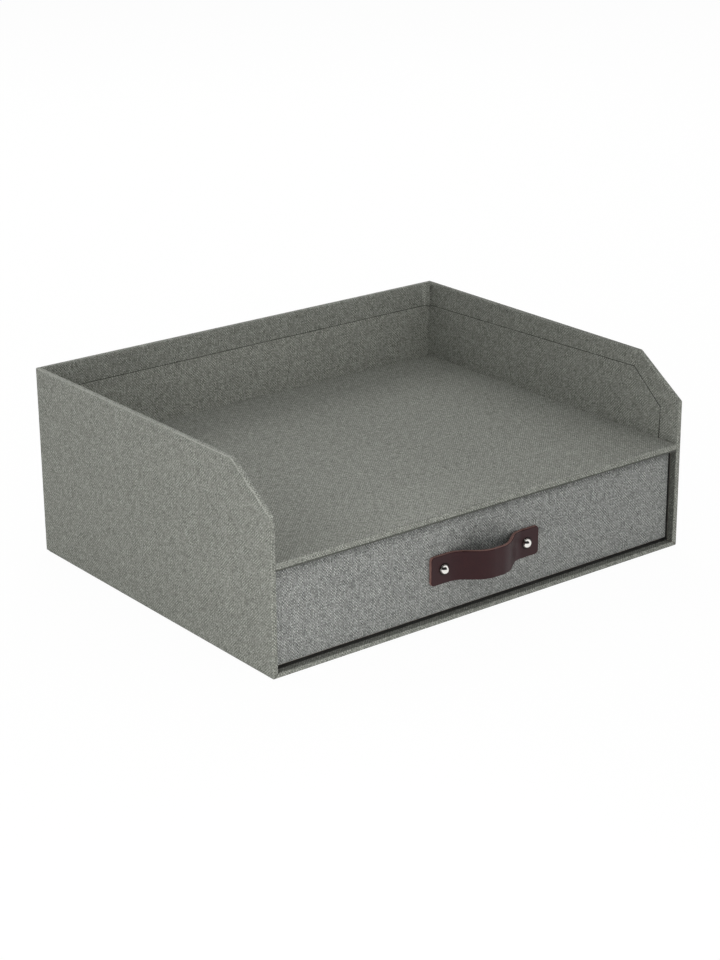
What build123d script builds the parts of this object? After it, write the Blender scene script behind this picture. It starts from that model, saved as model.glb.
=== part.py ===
"""Desk document organizer: an open letter tray over one drawer, stiff boards covered with woven cloth.

The frame has +X to the right, the drawer opens towards -Y and +Z is up. The origin is on the surface
that the object stands on, under the middle of the case. All lengths are in millimetres.
"""
import os
from math import hypot, radians, tan

from build123d import *

os.makedirs("parts", exist_ok=True)

# Covered case, outside
case_width = 330.0
case_depth = 257.0
case_height = 127.0
corner_cut_depth = 38.0
corner_cut_height = 26.0
drawer_bay_height = 63.45

# Sheet stock: stiff boards, cloth, card-backed lining and the sheet under the base
wall_board_t = 2.6
base_board_t = 2.2
shelf_board_t = 4.1
drawer_board_t = 2.6
drawer_floor_t = 2.2
cloth_t = 0.45
lining_t = 0.8
base_sheet_t = 0.35
base_sheet_inset = 3.0
turn_in = 15.5
edge_round = 0.8

# Drawer in its bay
drawer_recess = 5.5
drawer_side_gap = 1.2
drawer_top_gap = 1.2
drawer_rear_gap = 2.0
drawer_front_lift = 2.0

# Leather strap pull, bowed outwards between two studs
strap_end = 10.2
strap_width = 19.0
strap_t = 2.5
strap_rise = 12.5
strap_slope_angle = 38.0
strap_bend_r = 16.0
strap_bend_gap = 0.1
strap_corner_r = 2.5
strap_edge_r = 0.5
pull_height = 28.9

# Studs: domed head on a hollow post, closed by a slotted screw over a washer
stud_spacing = 67.2
stud_head_d = 8.0
stud_head_height = 2.6
stud_cap_t = 1.35
stud_post_d = 4.0
stud_post_wall = 0.7
stud_hole_clearance = 0.1
washer_d = 11.0
washer_t = 0.8
screw_head_d = 7.5
screw_head_t = 1.4
screw_shank_clearance = 0.05
screw_tip_clearance = 1.6
screw_slot_width = 1.0
screw_slot_depth = 0.7

# Length by which a cut runs past the material it removes
overrun = 1.0

# Levels above the surface that the case stands on
cover_foot = base_sheet_t
board_foot = cover_foot + cloth_t
base_board_top = board_foot + base_board_t
bay_floor = base_board_top + cloth_t
shelf_foot = bay_floor + drawer_bay_height
shelf_board_foot = shelf_foot + cloth_t
shelf_board_top = shelf_board_foot + shelf_board_t
tray_floor = shelf_board_top + cloth_t

# Half widths of the case, from the outside in
half_width = case_width / 2
side_board_out = half_width - cloth_t
side_board_in = side_board_out - wall_board_t
side_turn_face = side_board_in - cloth_t
bay_half = side_board_in - lining_t

# Depths of the case, front and back
case_front = -case_depth / 2
case_rear = case_depth / 2
back_board_out = case_rear - cloth_t
back_board_in = back_board_out - wall_board_t
back_turn_face = back_board_in - cloth_t
bay_rear = back_board_in - lining_t

# Drawer, from the outside in
drawer_half = bay_half - drawer_side_gap
drawer_board_out = drawer_half - cloth_t
drawer_board_in = drawer_board_out - drawer_board_t
drawer_turn_face = drawer_board_in - cloth_t
drawer_face = case_front + drawer_recess
front_board_out = drawer_face + cloth_t
front_board_in = front_board_out + drawer_board_t
front_turn_face = front_board_in + cloth_t
drawer_rear = bay_rear - drawer_rear_gap
rear_board_out = drawer_rear - cloth_t
rear_board_in = rear_board_out - drawer_board_t
rear_turn_face = rear_board_in - cloth_t
drawer_front_foot = bay_floor + drawer_front_lift
drawer_top = shelf_foot - drawer_top_gap
drawer_floor_top = bay_floor + drawer_floor_t

# Pull: its place on the drawer front, and the faces that the stud's pieces rest on
pull_level = drawer_front_foot + pull_height
strap_face = drawer_face - strap_t
stud_x = stud_spacing / 2
lining_face = front_board_in + lining_t
washer_face = lining_face + washer_t

sides = ((-1, "left"), (1, "right"))


def side_outline(inset, low, rear):
    """Outline of a side wall as (depth, height), drawn in from its front, slanted and top edges."""
    cut_length = hypot(corner_cut_depth, corner_cut_height)
    front = case_front + inset
    top = case_height - inset
    slant_low = case_height - corner_cut_height - inset * (cut_length - corner_cut_height) / corner_cut_depth
    slant_high = case_front + corner_cut_depth + inset * (cut_length - corner_cut_depth) / corner_cut_height
    return [(front, low), (front, slant_low), (slant_high, top), (rear, top), (rear, low)]


def span(low, high):
    """Middle and length of the stretch between two places."""
    return (low + high) / 2, high - low


def slab(x_ends, y_ends, z_ends):
    """A flat board or sheet between three pairs of places."""
    x_middle, x_length = span(*x_ends)
    y_middle, y_length = span(*y_ends)
    z_low, z_high = z_ends
    with BuildPart() as sheet:
        with BuildSketch(Plane.XY.offset(z_low)):
            with Locations((x_middle, y_middle)):
                Rectangle(x_length, y_length)
        extrude(amount=z_high - z_low)
    return sheet.part


# Sheet under the base, the face that the case rests on
with BuildPart() as case_base_sheet:
    with BuildSketch():
        Rectangle(case_width - 2 * base_sheet_inset, case_depth - 2 * base_sheet_inset)
    extrude(amount=base_sheet_t)
case_base_sheet.part.label = "case_base_sheet"
export_step(case_base_sheet.part, "parts/case_base_sheet.step")

# Base board, between the side linings and in front of the back lining
with BuildPart() as case_base_board:
    add(slab((-bay_half, bay_half), (case_front + cloth_t, bay_rear), (board_foot, base_board_top)))
case_base_board.part.label = "case_base_board"
export_step(case_base_board.part, "parts/case_base_board.step")

# Cloth of the base: under the board, over its front edge and turned in on top
with BuildPart() as case_base_cover:
    add(slab((-side_turn_face, side_turn_face), (case_front, back_turn_face), (cover_foot, bay_floor)))
    fillet(case_base_cover.edges().filter_by(Axis.X).group_by(Axis.Y)[0], radius=edge_round)
    board_room = slab(
        (-half_width, half_width), (case_front + cloth_t, case_rear), (board_foot, base_board_top)
    )
    add(board_room, mode=Mode.SUBTRACT)
    open_top = slab(
        (-half_width, half_width), (case_front + turn_in, case_rear), (board_foot, bay_floor + overrun)
    )
    add(open_top, mode=Mode.SUBTRACT)
case_base_cover.part.label = "case_base_cover"
export_step(case_base_cover.part, "parts/case_base_cover.step")

# Side walls: board, cloth wrapped over the edges, and lining panel
for side, name in sides:
    with BuildPart() as side_board:
        with BuildSketch(Plane.YZ.offset(side * side_board_out)):
            with BuildLine():
                Polyline(*side_outline(cloth_t, board_foot, back_board_out), close=True)
            make_face()
        extrude(amount=-side * wall_board_t)
    side_board.part.label = f"case_{name}_board"
    export_step(side_board.part, f"parts/case_{name}_board.step")

    with BuildPart() as side_cover:
        with BuildSketch(Plane.YZ.offset(side * half_width)):
            with BuildLine():
                Polyline(*side_outline(0, cover_foot, case_rear), close=True)
            make_face()
        extrude(amount=-side * (half_width - side_turn_face))
        wall_edges = side_cover.edges().filter_by(Axis.X, reverse=True)
        shown_edges = wall_edges.sort_by(Axis.Y)[:-2].sort_by(Axis.Z)[2:]
        fillet(shown_edges, radius=edge_round)
        # Room for the board, open at the rear, where the back wall's cloth closes it
        with BuildSketch(Plane.YZ.offset(side * side_board_out)):
            with BuildLine():
                Polyline(*side_outline(cloth_t, board_foot, back_board_out), close=True)
            make_face()
        extrude(amount=-side * wall_board_t, mode=Mode.SUBTRACT)
        with BuildSketch(Plane.YZ.offset(side * side_board_out)):
            rear_middle, rear_length = span(back_board_out, case_rear + overrun)
            with Locations((rear_middle, case_height / 2)):
                Rectangle(rear_length, case_height + overrun)
        extrude(amount=-side * (side_board_out - side_turn_face + overrun), mode=Mode.SUBTRACT)
        # Inner side: the cloth ends at the lining panel and at the back board
        with BuildSketch(Plane.YZ.offset(side * side_board_in)):
            with BuildLine():
                Polyline(*side_outline(turn_in, board_foot, back_board_in), close=True)
            make_face()
            notch_middle, notch_length = span(back_board_in, case_rear)
            level_middle, level_length = span(board_foot, case_height - cloth_t)
            with Locations((notch_middle, level_middle)):
                Rectangle(notch_length, level_length)
        extrude(amount=-side * (cloth_t + overrun), mode=Mode.SUBTRACT)
    side_cover.part.label = f"case_{name}_cover"
    export_step(side_cover.part, f"parts/case_{name}_cover.step")

    with BuildPart() as side_lining:
        with BuildSketch(Plane.YZ.offset(side * side_board_in)):
            with BuildLine():
                Polyline(*side_outline(turn_in, board_foot, back_board_in), close=True)
            make_face()
        extrude(amount=-side * lining_t)
    side_lining.part.label = f"{name}_lining"
    export_step(side_lining.part, f"parts/{name}_lining.step")

# Back wall: board between the side boards
with BuildPart() as case_back_board:
    add(
        slab(
            (-side_board_in, side_board_in),
            (back_board_in, back_board_out),
            (board_foot, case_height - cloth_t),
        )
    )
case_back_board.part.label = "case_back_board"
export_step(case_back_board.part, "parts/case_back_board.step")

# Cloth of the back wall: wrapped over the top and bottom edges, its outer sheet closing the side walls' rear
with BuildPart() as case_back_cover:
    add(slab((-side_turn_face, side_turn_face), (back_turn_face, case_rear), (cover_foot, case_height)))
    fillet(case_back_cover.edges().filter_by(Axis.X).group_by(Axis.Z)[-1], radius=edge_round)
    board_room = slab(
        (-half_width, half_width), (back_board_in, back_board_out), (board_foot, case_height - cloth_t)
    )
    add(board_room, mode=Mode.SUBTRACT)
    lining_room = slab(
        (-half_width, half_width),
        (back_turn_face - overrun, back_board_in),
        (board_foot, case_height - turn_in),
    )
    add(lining_room, mode=Mode.SUBTRACT)
    for side, name in sides:
        edge_ends = sorted((side * side_turn_face, side * side_board_out))
        add(slab(edge_ends, (back_board_out, case_rear), (cover_foot, case_height)))
case_back_cover.part.label = "case_back_cover"
export_step(case_back_cover.part, "parts/case_back_cover.step")

# Lining panel of the back wall, between the side linings
with BuildPart() as back_lining:
    add(slab((-bay_half, bay_half), (bay_rear, back_board_in), (board_foot, case_height - turn_in)))
back_lining.part.label = "back_lining"
export_step(back_lining.part, "parts/back_lining.step")

# Shelf: the tray's floor and the drawer bay's ceiling
with BuildPart() as shelf_board:
    add(
        slab((-bay_half, bay_half), (case_front + cloth_t, bay_rear), (shelf_board_foot, shelf_board_top))
    )
shelf_board.part.label = "shelf_board"
export_step(shelf_board.part, "parts/shelf_board.step")

# Cloth of the shelf: over its top and front edge, turned in underneath
with BuildPart() as shelf_cover:
    add(slab((-bay_half, bay_half), (case_front, bay_rear), (shelf_foot, tray_floor)))
    fillet(shelf_cover.edges().filter_by(Axis.X).group_by(Axis.Y)[0], radius=edge_round)
    board_room = slab(
        (-half_width, half_width), (case_front + cloth_t, case_rear), (shelf_board_foot, shelf_board_top)
    )
    add(board_room, mode=Mode.SUBTRACT)
    open_under = slab(
        (-half_width, half_width), (case_front + turn_in, case_rear), (shelf_foot - overrun, shelf_board_top)
    )
    add(open_under, mode=Mode.SUBTRACT)
shelf_cover.part.label = "shelf_cover"
export_step(shelf_cover.part, "parts/shelf_cover.step")

# Linings of the drawer bay, flush with the turned-in cloth in front of them
bay_linings = (
    ("bay_floor_lining", base_board_top),
    ("bay_ceiling_lining", shelf_foot),
)
for name, foot in bay_linings:
    with BuildPart() as bay_lining:
        add(slab((-bay_half, bay_half), (case_front + turn_in, bay_rear), (foot, foot + cloth_t)))
    bay_lining.part.label = name
    export_step(bay_lining.part, f"parts/{name}.step")

# Drawer floor, which slides on the bay's floor and ends behind the drawer front
with BuildPart() as drawer_floor_board:
    add(
        slab(
            (-drawer_board_out, drawer_board_out),
            (front_turn_face, rear_board_out),
            (bay_floor, drawer_floor_top),
        )
    )
drawer_floor_board.part.label = "drawer_floor_board"
export_step(drawer_floor_board.part, "parts/drawer_floor_board.step")

# Places of the stud holes on the upright plane through the drawer front
stud_places = [(-stud_x, pull_level), (stud_x, pull_level)]
stud_hole_r = stud_post_d / 2 + stud_hole_clearance

# Drawer front board, with the stud holes
with BuildPart() as drawer_front_board:
    add(
        slab(
            (-drawer_board_out, drawer_board_out),
            (front_board_out, front_board_in),
            (drawer_front_foot + cloth_t, drawer_top - cloth_t),
        )
    )
    with BuildSketch(Plane.XZ.offset(-front_board_in)):
        with Locations(*stud_places):
            Circle(stud_hole_r)
    extrude(amount=drawer_board_t, mode=Mode.SUBTRACT)
drawer_front_board.part.label = "drawer_front_board"
export_step(drawer_front_board.part, "parts/drawer_front_board.step")

# Cloth of the drawer front: wrapped round all four edges and turned in
with BuildPart() as drawer_front_cover:
    add(
        slab((-drawer_half, drawer_half), (drawer_face, front_turn_face), (drawer_front_foot, drawer_top))
    )
    fillet(drawer_front_cover.edges(), radius=edge_round)
    board_room = slab(
        (-drawer_board_out, drawer_board_out),
        (front_board_out, front_board_in),
        (drawer_front_foot + cloth_t, drawer_top - cloth_t),
    )
    add(board_room, mode=Mode.SUBTRACT)
    lining_room = slab(
        (turn_in - drawer_half, drawer_half - turn_in),
        (front_board_in, front_turn_face + overrun),
        (drawer_front_foot + turn_in, drawer_top - turn_in),
    )
    add(lining_room, mode=Mode.SUBTRACT)
    with BuildSketch(Plane.XZ.offset(-front_board_out)):
        with Locations(*stud_places):
            Circle(stud_hole_r)
    extrude(amount=cloth_t + overrun, mode=Mode.SUBTRACT)
drawer_front_cover.part.label = "drawer_front_cover"
export_step(drawer_front_cover.part, "parts/drawer_front_cover.step")

# Lining panel on the drawer front's inner side, within the turned-in cloth
with BuildPart() as drawer_front_lining:
    add(
        slab(
            (turn_in - drawer_half, drawer_half - turn_in),
            (front_board_in, lining_face),
            (drawer_front_foot + turn_in, drawer_top - turn_in),
        )
    )
    with BuildSketch(Plane.XZ.offset(-lining_face)):
        with Locations(*stud_places):
            Circle(stud_hole_r)
    extrude(amount=lining_t, mode=Mode.SUBTRACT)
drawer_front_lining.part.label = "drawer_front_lining"
export_step(drawer_front_lining.part, "parts/drawer_front_lining.step")

# Drawer side walls: boards that stand on the drawer floor, and their cloth
for side, name in sides:
    with BuildPart() as wall_board:
        board_ends = sorted((side * drawer_board_in, side * drawer_board_out))
        add(slab(board_ends, (front_turn_face, rear_board_out), (drawer_floor_top, drawer_top - cloth_t)))
    wall_board.part.label = f"drawer_{name}_board"
    export_step(wall_board.part, f"parts/drawer_{name}_board.step")

    with BuildPart() as wall_cover:
        cover_ends = sorted((side * drawer_turn_face, side * drawer_half))
        add(slab(cover_ends, (front_turn_face, drawer_rear), (bay_floor, drawer_top)))
        fillet(wall_cover.edges().filter_by(Axis.Y).group_by(Axis.Z)[-1], radius=edge_round)
        board_room = slab(
            board_ends,
            (front_turn_face - overrun, drawer_rear),
            (bay_floor - overrun, drawer_top - cloth_t),
        )
        add(board_room, mode=Mode.SUBTRACT)
        inner_ends = sorted((side * (drawer_turn_face - overrun), side * drawer_board_in))
        lining_room = slab(
            inner_ends,
            (front_turn_face - overrun, rear_board_in),
            (bay_floor - overrun, drawer_top - turn_in),
        )
        add(lining_room, mode=Mode.SUBTRACT)
        rear_board_room = slab(
            inner_ends,
            (rear_board_in, drawer_rear + overrun),
            (bay_floor - overrun, drawer_top - cloth_t),
        )
        add(rear_board_room, mode=Mode.SUBTRACT)
        rear_sheet_room = slab(
            sorted((side * (drawer_turn_face - overrun), side * drawer_board_out)),
            (rear_board_out, drawer_rear + overrun),
            (bay_floor - overrun, drawer_top + overrun),
        )
        add(rear_sheet_room, mode=Mode.SUBTRACT)
    wall_cover.part.label = f"drawer_{name}_cover"
    export_step(wall_cover.part, f"parts/drawer_{name}_cover.step")

# Drawer back wall: board between the side boards
with BuildPart() as drawer_back_board:
    add(
        slab(
            (-drawer_board_in, drawer_board_in),
            (rear_board_in, rear_board_out),
            (drawer_floor_top, drawer_top - cloth_t),
        )
    )
drawer_back_board.part.label = "drawer_back_board"
export_step(drawer_back_board.part, "parts/drawer_back_board.step")

# Cloth of the drawer's back wall
with BuildPart() as drawer_back_cover:
    add(
        slab((-drawer_turn_face, drawer_turn_face), (rear_turn_face, drawer_rear), (bay_floor, drawer_top))
    )
    fillet(drawer_back_cover.edges().filter_by(Axis.X).group_by(Axis.Z)[-1], radius=edge_round)
    board_room = slab(
        (-drawer_half, drawer_half),
        (rear_board_in, rear_board_out),
        (bay_floor - overrun, drawer_top - cloth_t),
    )
    add(board_room, mode=Mode.SUBTRACT)
    lining_room = slab(
        (-drawer_half, drawer_half),
        (rear_turn_face - overrun, rear_board_in),
        (bay_floor - overrun, drawer_top - turn_in),
    )
    add(lining_room, mode=Mode.SUBTRACT)
    for side, name in sides:
        edge_ends = sorted((side * drawer_turn_face, side * drawer_board_out))
        add(slab(edge_ends, (rear_board_out, drawer_rear), (bay_floor, drawer_top)))
drawer_back_cover.part.label = "drawer_back_cover"
export_step(drawer_back_cover.part, "parts/drawer_back_cover.step")

# Lining of the drawer: a floor and three walls, up to the turned-in cloth
with BuildPart() as drawer_lining:
    add(
        slab(
            (-drawer_board_in, drawer_board_in),
            (front_turn_face, rear_board_in),
            (drawer_floor_top, drawer_top - turn_in),
        )
    )
    drawer_room = slab(
        (lining_t - drawer_board_in, drawer_board_in - lining_t),
        (front_turn_face - overrun, rear_board_in - lining_t),
        (drawer_floor_top + lining_t, drawer_top),
    )
    add(drawer_room, mode=Mode.SUBTRACT)
drawer_lining.part.label = "drawer_lining"
export_step(drawer_lining.part, "parts/drawer_lining.step")

# Leather strap: flat under both studs, with two bends on each side of the bowed middle
strap_tip_x = stud_x + strap_end
bend_reach = strap_bend_r * tan(radians(strap_slope_angle) / 2)
knee_x = stud_x - stud_head_d / 2 - strap_bend_gap - bend_reach
crown_x = knee_x - strap_rise / tan(radians(strap_slope_angle))
crown_y = drawer_face - strap_rise
with BuildPart() as pull_strap:
    with BuildSketch(Plane.XY.offset(pull_level - strap_width / 2)):
        with BuildLine():
            FilletPolyline(
                (-strap_tip_x, drawer_face),
                (-knee_x, drawer_face),
                (-crown_x, crown_y),
                (crown_x, crown_y),
                (knee_x, drawer_face),
                (strap_tip_x, drawer_face),
                radius=strap_bend_r,
            )
            offset(amount=strap_t, side=Side.RIGHT)
        make_face()
    extrude(amount=strap_width)
    fillet(pull_strap.edges().filter_by(Axis.Y), radius=strap_corner_r)
    # Soften every edge of the two broad faces, leaving the seams between straight and bent stretches
    outline_edges = pull_strap.edges().filter_by(Axis.Y, reverse=True).filter_by(Axis.Z, reverse=True)
    upright_edges = pull_strap.edges().filter_by(Axis.Z).group_by(Axis.X)
    fillet(outline_edges + upright_edges[0] + upright_edges[-1], radius=strap_edge_r)
    with BuildSketch(Plane.XZ.offset(-drawer_face)):
        with Locations(*stud_places):
            Circle(stud_hole_r)
    extrude(amount=strap_t, mode=Mode.SUBTRACT)
pull_strap.part.label = "pull_strap"
export_step(pull_strap.part, "parts/pull_strap.step")


# Stud heads: a dome on the strap, and a hollow post through strap, cloth, board and lining
stud_seat = (stud_x, strap_face, pull_level)
stud_plane = Plane(origin=stud_seat, x_dir=(1, 0, 0), z_dir=(0, 0, 1))
head_r = stud_head_d / 2
post_r = stud_post_d / 2
bore_r = post_r - stud_post_wall
dome_r = (head_r**2 + stud_head_height**2) / (2 * stud_head_height)
post_end = lining_face - strap_face
with BuildPart() as stud_heads:
    with BuildSketch(stud_plane):
        with BuildLine():
            RadiusArc((0, -stud_head_height), (head_r, 0), -dome_r)
            Polyline(
                (head_r, 0),
                (post_r, 0),
                (post_r, post_end),
                (bore_r, post_end),
                (bore_r, stud_cap_t),
                (0, stud_cap_t),
                (0, -stud_head_height),
            )
        make_face()
    revolve(axis=Axis(stud_seat, (0, 1, 0)))
    mirror(about=Plane.YZ)
stud_heads.part.label = "stud_heads"
export_step(stud_heads.part, "parts/stud_heads.step")

# Washers on the lining, over the posts' ends
with BuildPart() as stud_washers:
    with BuildSketch(Plane.XZ.offset(-washer_face)):
        with Locations(*stud_places):
            Circle(washer_d / 2)
            Circle(bore_r, mode=Mode.SUBTRACT)
    extrude(amount=washer_t)
stud_washers.part.label = "stud_washers"
export_step(stud_washers.part, "parts/stud_washers.step")

# Screws: a flat slotted head over the washer, and a shank up the post's bore
shank_r = bore_r - screw_shank_clearance
shank_length = washer_t + post_end - stud_cap_t - screw_tip_clearance
with BuildPart() as stud_screws:
    with BuildSketch(Plane.XZ.offset(-washer_face)):
        with Locations(*stud_places):
            Circle(screw_head_d / 2)
    extrude(amount=-screw_head_t)
    with BuildSketch(Plane.XZ.offset(-washer_face)):
        with Locations(*stud_places):
            Circle(shank_r)
    extrude(amount=shank_length)
    with BuildSketch(Plane.XZ.offset(-washer_face - screw_head_t)):
        with Locations(*stud_places):
            Rectangle(screw_head_d + overrun, screw_slot_width)
    extrude(amount=screw_slot_depth, mode=Mode.SUBTRACT)
stud_screws.part.label = "stud_screws"
export_step(stud_screws.part, "parts/stud_screws.step")
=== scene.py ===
from math import atan2, cos, pi, radians, sin, tan

import bmesh
import bpy
from mathutils import Matrix, Quaternion, Vector
from mathutils.geometry import intersect_point_line


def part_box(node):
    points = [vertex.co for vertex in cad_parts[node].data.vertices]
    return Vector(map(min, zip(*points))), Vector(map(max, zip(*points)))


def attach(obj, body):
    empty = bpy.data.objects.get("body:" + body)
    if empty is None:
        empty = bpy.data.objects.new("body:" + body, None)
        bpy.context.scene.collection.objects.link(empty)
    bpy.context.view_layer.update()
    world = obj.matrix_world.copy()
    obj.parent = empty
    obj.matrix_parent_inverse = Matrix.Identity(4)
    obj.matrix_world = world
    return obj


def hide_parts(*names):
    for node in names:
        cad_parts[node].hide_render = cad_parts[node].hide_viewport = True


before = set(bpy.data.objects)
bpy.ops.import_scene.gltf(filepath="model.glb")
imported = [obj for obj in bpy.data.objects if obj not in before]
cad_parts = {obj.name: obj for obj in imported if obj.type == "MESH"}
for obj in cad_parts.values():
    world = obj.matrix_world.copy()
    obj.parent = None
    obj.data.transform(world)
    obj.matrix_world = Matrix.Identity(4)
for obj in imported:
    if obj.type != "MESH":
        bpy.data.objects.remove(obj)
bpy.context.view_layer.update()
MM = 0.001

# %% [markdown]
# ## Camera
# The picture was taken from the front left, a little above the tray, with a long lens, so upright edges
# stay nearly parallel. The place, the direction and the lens below were solved from the corners of the
# case, and a small roll is part of them. Blender counts the sensor's width along the picture's longer
# side, which is the height here. The denoiser is told to trust the colours it is given: threads are as
# small as pixels here, and it would take the weave for noise and wipe it away.
# %% Camera
picture_height = 960
focal_length_px = 2262.9
sensor_mm = 36.0
camera_place = Vector((-0.85457, -1.09853, 0.56876))
look_azimuth = radians(-37.860)
look_elevation = radians(20.514)
look_roll = radians(-0.445)

lens = bpy.data.cameras.new("picture_camera")
lens.sensor_width = sensor_mm
lens.lens = focal_length_px * sensor_mm / picture_height
lens.clip_start = 0.05
lens.clip_end = 50.0
look = -Vector((
    sin(look_azimuth) * cos(look_elevation),
    -cos(look_azimuth) * cos(look_elevation),
    sin(look_elevation),
))
camera = bpy.data.objects.new("picture_camera", lens)
camera.location = camera_place
camera.rotation_mode = "QUATERNION"
camera.rotation_quaternion = look.to_track_quat("-Z", "Y") @ Quaternion((0, 0, 1), look_roll)
bpy.context.scene.collection.objects.link(camera)
bpy.context.scene.camera = camera
bpy.context.scene.view_settings.view_transform = "Standard"
bpy.context.scene.cycles.denoising_prefilter = "NONE"
print("lens in mm:", round(lens.lens, 2))

# %% [markdown]
# ## Colours and nodes
# Colours are written as sRGB hex values, as a picture shows them, and one function turns them into the
# linear values that shaders need. Another small function adds a node, so that a material reads as a list
# of steps.
# %% Colour and node helpers
def linear(hex_colour):
    """An sRGB hex colour as linear red, green, blue and alpha."""
    channels = [int(hex_colour[start:start + 2], 16) / 255 for start in (1, 3, 5)]
    return [c / 12.92 if c <= 0.04045 else ((c + 0.055) / 1.055) ** 2.4 for c in channels] + [1.0]


def add_node(tree, kind, inputs=None, stops=None, **settings):
    """Adds one node. An input takes a value or another node's output, and stops are a ramp's colours."""
    node = tree.nodes.new("ShaderNode" + kind)
    for name, value in settings.items():
        setattr(node, name, value)
    for name, value in (inputs or {}).items():
        if isinstance(value, bpy.types.NodeSocket):
            tree.links.new(value, node.inputs[name])
        else:
            node.inputs[name].default_value = value
    for index, (position, hex_colour) in enumerate(stops or []):
        ramp = node.color_ramp.elements
        stop = ramp[index] if index < 2 else ramp.new(position)
        stop.position = position
        stop.color = linear(hex_colour)
    return node


def new_material(name, roughness, specular):
    """A new material, its node tree and its shader, with roughness and gloss to start from."""
    material = bpy.data.materials.new(name)
    material.use_nodes = True
    shader = material.node_tree.nodes["Principled BSDF"]
    shader.inputs["Roughness"].default_value = roughness
    shader.inputs["Specular IOR Level"].default_value = specular
    return material, material.node_tree, shader


print("mid grey #808080 in linear light:", round(linear("#808080")[0], 3))

# %% [markdown]
# ## Sky
# The object is shown in a white studio, with daylight mostly from the front. The camera sees the sky as
# pure white, and so do reflections, apart from a dark room on the camera's side, which draws a dark band
# across polished metal. A picture of a real studio could light it too, but a few numbers for each
# direction are easier to adjust, and they keep the script free of other files.
# %% Sky
# Daylight by direction: from the right and the back, and then from the front
sky_ahead = (0.31, 0.2, 0.0)
sky_behind = (0.0, -0.86, 0.0)
room_side = (-0.75, -0.66, 0.0)
room_edge = 0.3
room_top, room_fade = 0.75, 0.2
room_shade = 0.02
background_white = 1.0


def tell_rays(tree):
    """Two outputs: one for rays from the camera, and one for rays from a reflection or through glass."""
    path = add_node(tree, "LightPath").outputs
    ways = {0: path["Is Glossy Ray"], 1: path["Is Transmission Ray"]}
    return path["Is Camera Ray"], add_node(tree, "Math", ways, operation="MAXIMUM").outputs[0]


world = bpy.data.worlds.new("white_studio")
bpy.context.scene.world = world
world.use_nodes = True
sky = world.node_tree
sky.nodes.clear()
by_camera, by_gloss = tell_rays(sky)
towards = add_node(sky, "TexCoord").outputs["Generated"]
ahead = add_node(sky, "VectorMath", {0: towards, 1: (0, 0, 0)}, operation="MAXIMUM").outputs[0]
behind = add_node(sky, "VectorMath", {0: towards, 1: (0, 0, 0)}, operation="MINIMUM").outputs[0]
ahead = add_node(sky, "VectorMath", {0: ahead, 1: sky_ahead}, operation="DOT_PRODUCT").outputs["Value"]
behind = add_node(sky, "VectorMath", {0: behind, 1: sky_behind}, operation="DOT_PRODUCT").outputs["Value"]
daylight = add_node(sky, "Math", {0: ahead, 1: behind}, operation="ADD").outputs[0]
to_room = add_node(sky, "VectorMath", {0: towards, 1: room_side}, operation="DOT_PRODUCT").outputs["Value"]
to_room = add_node(
    sky, "MapRange", {"Value": to_room, "From Max": room_edge}, interpolation_type="SMOOTHSTEP"
).outputs[0]
rising = add_node(sky, "SeparateXYZ", {0: towards}).outputs["Z"]
under_top = add_node(
    sky, "MapRange", {"Value": rising, "From Min": room_top + room_fade, "From Max": room_top},
    interpolation_type="SMOOTHSTEP",
).outputs[0]
room = add_node(sky, "Math", {0: to_room, 1: under_top}, operation="MULTIPLY").outputs[0]
mirrored = add_node(
    sky, "MapRange", {"Value": room, "To Min": background_white, "To Max": room_shade}
).outputs[0]
strength = add_node(sky, "Mix", {0: by_gloss, 2: daylight, 3: mirrored}).outputs[0]
strength = add_node(sky, "Mix", {0: by_camera, 2: strength, 3: background_white}).outputs[0]
light = add_node(sky, "Background", {"Color": linear("#FFFFFF"), "Strength": strength})
add_node(sky, "OutputWorld", {"Surface": light.outputs[0]})
print("sky:", world.name)

# %% [markdown]
# ## Floor
# The object stands on white card. Most of what the camera sees of it is pure white, and the rest is lit
# card, so a soft shadow is left. Matt card scatters light evenly, so a diffuse shader is enough, and a
# faint glow stands for the light that a white room throws on it. The card lies a hair below the object,
# so that the two never share a plane.
# %% Floor card
floor_white_share = 0.95
floor_glow = 0.26
floor_half = 8.0
floor_drop = 0.2 * MM
floor_material = bpy.data.materials.new("white floor card")
floor_material.use_nodes = True
card = floor_material.node_tree
card.nodes.clear()
by_camera, by_gloss = tell_rays(card)
seen = add_node(card, "Math", {0: by_camera, 1: by_gloss}, operation="MAXIMUM").outputs[0]
white_share = add_node(card, "Math", {0: seen, 1: floor_white_share}, operation="MULTIPLY").outputs[0]
lit = add_node(card, "BsdfDiffuse", {"Color": linear("#F2F2F0")})
glow = add_node(card, "Emission", {"Color": linear("#FFFFFF"), "Strength": floor_glow})
lit = add_node(card, "AddShader", {0: lit.outputs[0], 1: glow.outputs[0]})
white = add_node(card, "Emission", {"Color": linear("#FFFFFF"), "Strength": background_white})
mixed = add_node(card, "MixShader", {0: white_share, 1: lit.outputs[0], 2: white.outputs[0]})
add_node(card, "OutputMaterial", {"Surface": mixed.outputs[0]})

floor_shape = bmesh.new()
bmesh.ops.create_grid(floor_shape, x_segments=1, y_segments=1, size=floor_half)
bmesh.ops.translate(floor_shape, verts=floor_shape.verts, vec=(0, 0, -floor_drop))
floor_mesh = bpy.data.meshes.new("floor")
floor_shape.to_mesh(floor_mesh)
floor_shape.free()
floor_mesh.materials.append(floor_material)
floor = bpy.data.objects.new("floor", floor_mesh)
bpy.context.scene.collection.objects.link(floor)
print("floor in metres:", 2 * floor_half)

# %% [markdown]
# ## Lamps
# One soft lamp hangs overhead and two stand behind. The back wall keeps the light of those two off the
# rear of the tray, so the tray's floor grows brighter towards its front. Two more stand at the left, one
# of them low and near enough to fade along the drawer. Wide lamps give soft shadows, as a cloudy sky
# does, and the camera and polished metal don't see the lamps themselves.
# %% Soft lamps
lamp_target = Vector((0, 0, 0.06))
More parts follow.
